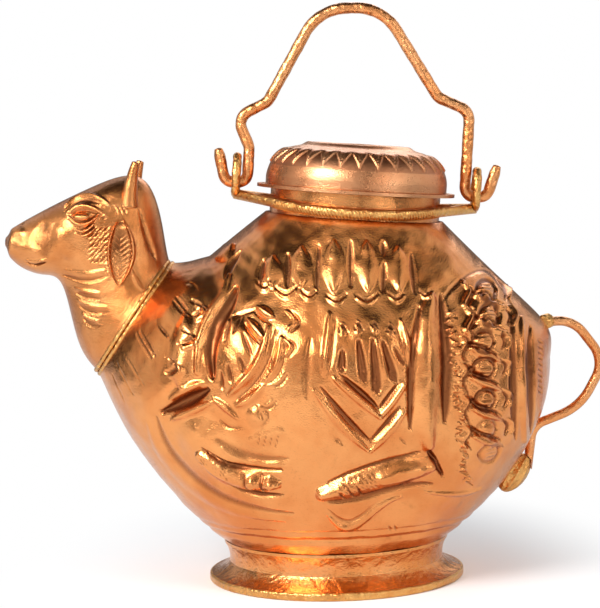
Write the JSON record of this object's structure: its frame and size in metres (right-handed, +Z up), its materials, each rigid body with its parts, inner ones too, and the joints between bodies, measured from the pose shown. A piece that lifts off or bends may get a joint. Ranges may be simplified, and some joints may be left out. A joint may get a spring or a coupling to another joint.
{
  "type": "kamandal water vessel",
  "caption": "Cow-shaped beaten copper and brass ritual water pot with a spout through the head, a tail handle, a lift-off lid and a swinging bail.",
  "frame": {"origin": "centre of the foot, on the surface that the vessel stands on", "axes": "+Z up; the cow looks along -X, its tail handle is at +X, its left flank at -Y"},
  "size_m": [0.2146, 0.1212, 0.2062],
  "materials": {
    "copper_sheet": "satin beaten copper",
    "brass_fittings": "satin brass"
  },
  "bodies": {
    "vessel": {"left_flank": "copper_sheet", "right_flank": "copper_sheet", "left_chest": "copper_sheet", "right_chest": "copper_sheet", "left_head": "copper_sheet", "right_head": "copper_sheet", "left_ear": "copper_sheet", "right_ear": "copper_sheet", "left_horn": "copper_sheet", "right_horn": "copper_sheet", "neck_collar": "copper_sheet", "foot_ring": "copper_sheet", "foot_collar": "copper_sheet", "base_plate": "copper_sheet", "tail_rod": "copper_sheet", "seam_band": "brass_fittings", "head_side_eye": "brass_fittings", "tail_side_eye": "brass_fittings", "hoop_front_rod": "brass_fittings", "hoop_rear_rod": "brass_fittings", "foot_rim": "brass_fittings", "tail_tuft": "brass_fittings"},
    "lid": {"lid_dome": "copper_sheet", "lid_brim": "copper_sheet", "lid_skirt": "copper_sheet"},
    "bail": {"bail": "copper_sheet"}
  },
  "joints": [
    {"name": "bail_swing", "type": "hinge", "parent": "vessel", "child": "bail", "pos_m": [0.01029, 0, 0.1395], "axis": [0.9962, 0, -0.0872], "range_deg": [-95, 95]},
    {"name": "lid_lift", "type": "slide", "parent": "vessel", "child": "lid", "axis": [0.0872, 0, 0.9962], "range_m": [0, 0.018]}
  ]
}
